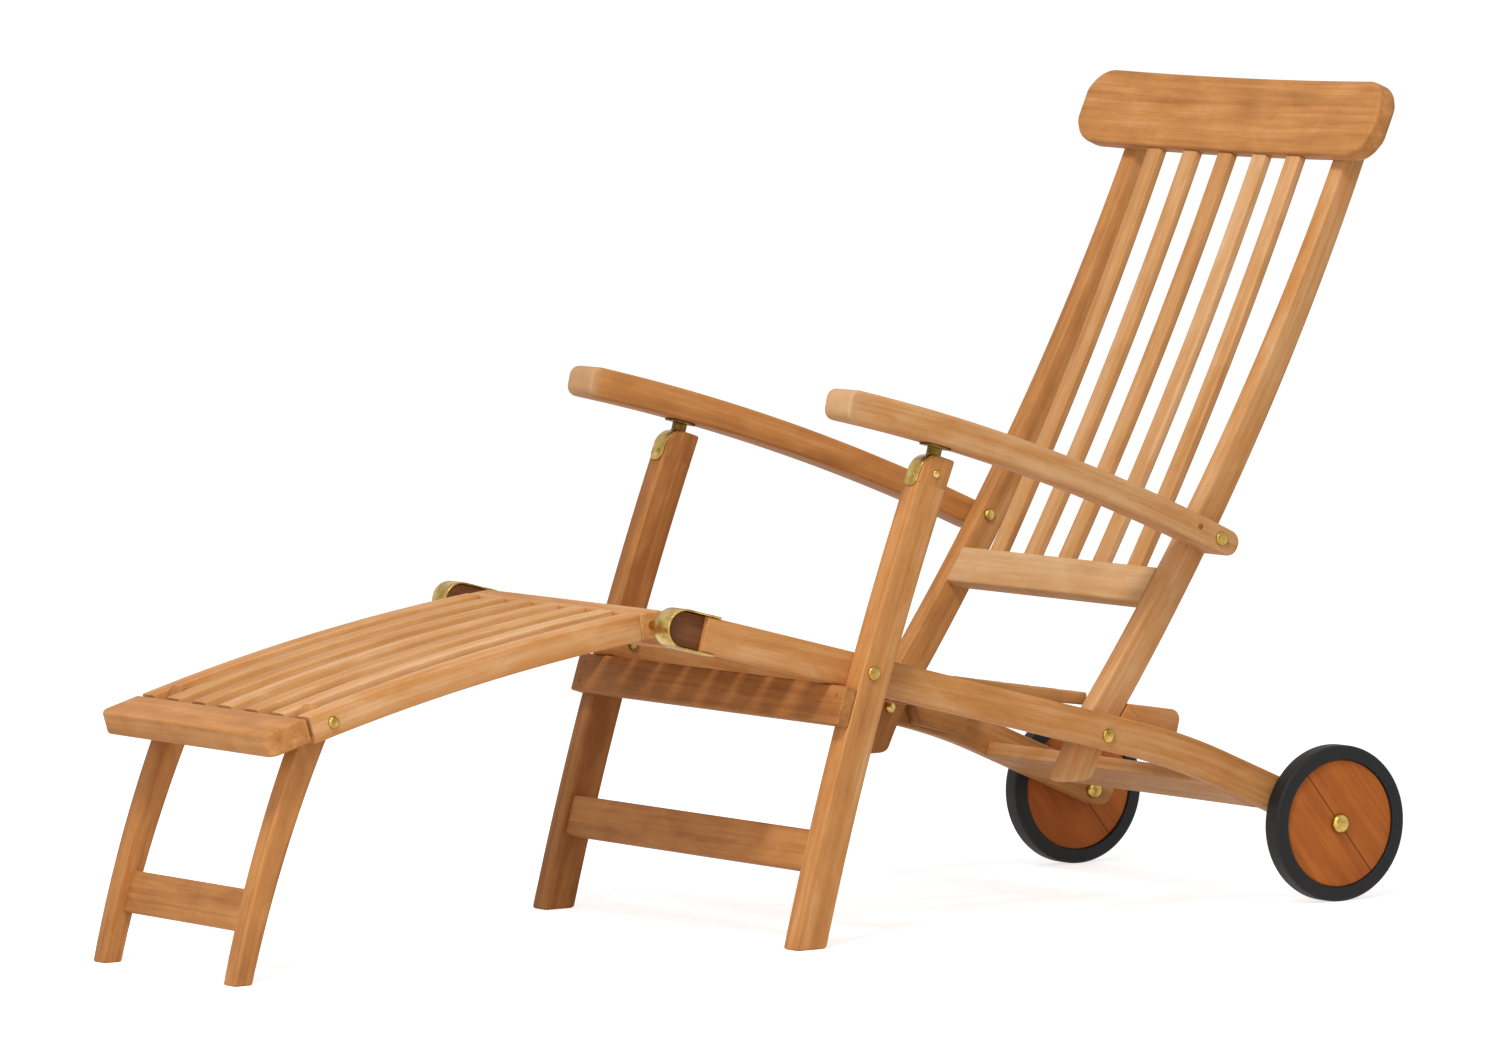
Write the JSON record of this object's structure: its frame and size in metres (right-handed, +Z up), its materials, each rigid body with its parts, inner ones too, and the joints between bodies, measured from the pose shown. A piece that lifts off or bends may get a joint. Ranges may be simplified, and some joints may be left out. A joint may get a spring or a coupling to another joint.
{
  "type": "steamer deck chair",
  "caption": "Folding wooden steamer deck chair with slatted seat and back, linked arms, hinged footrest on folding legs, and two rear wheels.",
  "frame": {"origin": "on the floor, under the middle of the whole chair", "axes": "+Z up, +Y towards the back and the wheels, so the sitter looks along -Y; +X is the sitter's left"},
  "size_m": [0.608, 1.5428, 0.9588],
  "materials": {
    "frame_teak": "bare sanded teak with fine straight grain, satin",
    "slat_teak": "bare sanded teak, paler than the frame, satin",
    "pale_teak": "bare sanded teak, pale board, satin",
    "wheel_teak": "redder hardwood disc, satin",
    "brass": "solid brass, lightly tarnished",
    "rubber": "black moulded rubber, matt"
  },
  "bodies": {
    "root": {"seat_rail_left": "frame_teak", "seat_rail_right": "frame_teak", "rail_end_strap_left": "brass", "rail_end_strap_right": "brass", "seat_front_cross_rail": "frame_teak", "seat_rear_cross_rail": "frame_teak", "seat_slat_1": "slat_teak", "seat_slat_2": "slat_teak", "seat_slat_3": "slat_teak", "seat_slat_4": "slat_teak", "seat_slat_5": "slat_teak", "seat_slat_6": "slat_teak", "seat_slat_7": "slat_teak", "rear_cross_board": "frame_teak", "back_stop_block_left": "frame_teak", "back_stop_block_right": "frame_teak", "wheel_axle_left": "brass", "wheel_axle_right": "brass", "leg_pivot_bolt_left": "brass", "leg_pivot_bolt_right": "brass", "back_pivot_bolt_left": "brass", "back_pivot_bolt_right": "brass"},
    "backrest": {"back_stile_left": "frame_teak", "back_stile_right": "frame_teak", "lower_back_rail": "pale_teak", "back_slat_1": "slat_teak", "back_slat_2": "slat_teak", "back_slat_3": "slat_teak", "back_slat_4": "slat_teak", "back_slat_5": "slat_teak", "headboard": "frame_teak"},
    "leg_frame": {"front_leg_left": "frame_teak", "front_leg_right": "frame_teak", "front_apron": "frame_teak", "leg_stretcher": "frame_teak"},
    "arm_assembly_left": {"arm_left": "frame_teak", "arm_bracket_left": "brass", "arm_bolt_left": "brass"},
    "arm_assembly_right": {"arm_right": "frame_teak", "arm_bracket_right": "brass", "arm_bolt_right": "brass"},
    "footrest": {"footrest_rail_left": "frame_teak", "footrest_rail_right": "frame_teak", "footrest_slat_1": "slat_teak", "footrest_slat_2": "slat_teak", "footrest_slat_3": "slat_teak", "footrest_slat_4": "slat_teak", "footrest_slat_5": "slat_teak", "footrest_rear_rail": "frame_teak", "footrest_front_board": "frame_teak", "footrest_pivot_rod": "brass"},
    "footrest_legs": {"footrest_leg_left": "frame_teak", "footrest_leg_right": "frame_teak", "footrest_leg_stretcher": "frame_teak", "footrest_leg_pivot_rod": "brass"},
    "wheel_left": {"wheel_disc_left": "wheel_teak", "wheel_tyre_left": "rubber"},
    "wheel_right": {"wheel_disc_right": "wheel_teak", "wheel_tyre_right": "rubber"}
  },
  "joints": [
    {"name": "back_fold", "type": "hinge", "parent": "root", "child": "backrest", "pos_m": [0, 0.34971, 0.21425], "axis": [1, 0, 0], "range_deg": [0, 60]},
    {"name": "leg_fold", "type": "hinge", "parent": "root", "child": "leg_frame", "pos_m": [0, 0.00571, 0.31078], "axis": [1, 0, 0], "range_deg": [0, 73]},
    {"name": "arm_fold_left", "type": "hinge", "parent": "leg_frame", "child": "arm_assembly_left", "pos_m": [0.27115, 0.09571, 0.534], "axis": [1, 0, 0], "range_deg": [-61, 0]},
    {"name": "arm_fold_right", "type": "hinge", "parent": "leg_frame", "child": "arm_assembly_right", "pos_m": [-0.27115, 0.09571, 0.534], "axis": [1, 0, 0], "range_deg": [-61, 0]},
    {"name": "footrest_lift", "type": "hinge", "parent": "root", "child": "footrest", "pos_m": [0, -0.22929, 0.374], "axis": [-1, 0, 0], "range_deg": [0, 75]},
    {"name": "footrest_leg_fold", "type": "hinge", "parent": "footrest", "child": "footrest_legs", "pos_m": [0, -0.65244, 0.29121], "axis": [1, 0, 0], "range_deg": [0, 110]},
    {"name": "wheel_spin_left", "type": "hinge", "parent": "root", "child": "wheel_left", "pos_m": [0.27075, 0.65971, 0.092], "axis": [1, 0, 0], "continuous": true},
    {"name": "wheel_spin_right", "type": "hinge", "parent": "root", "child": "wheel_right", "pos_m": [-0.27075, 0.65971, 0.092], "axis": [1, 0, 0], "continuous": true}
  ],
  "couplings": [
    {"joint": "leg_fold", "follows": "back_fold", "ratio": 1.2148},
    {"joint": "arm_fold_left", "follows": "back_fold", "ratio": -1.0111},
    {"joint": "arm_fold_right", "follows": "back_fold", "ratio": -1.0111}
  ]
}
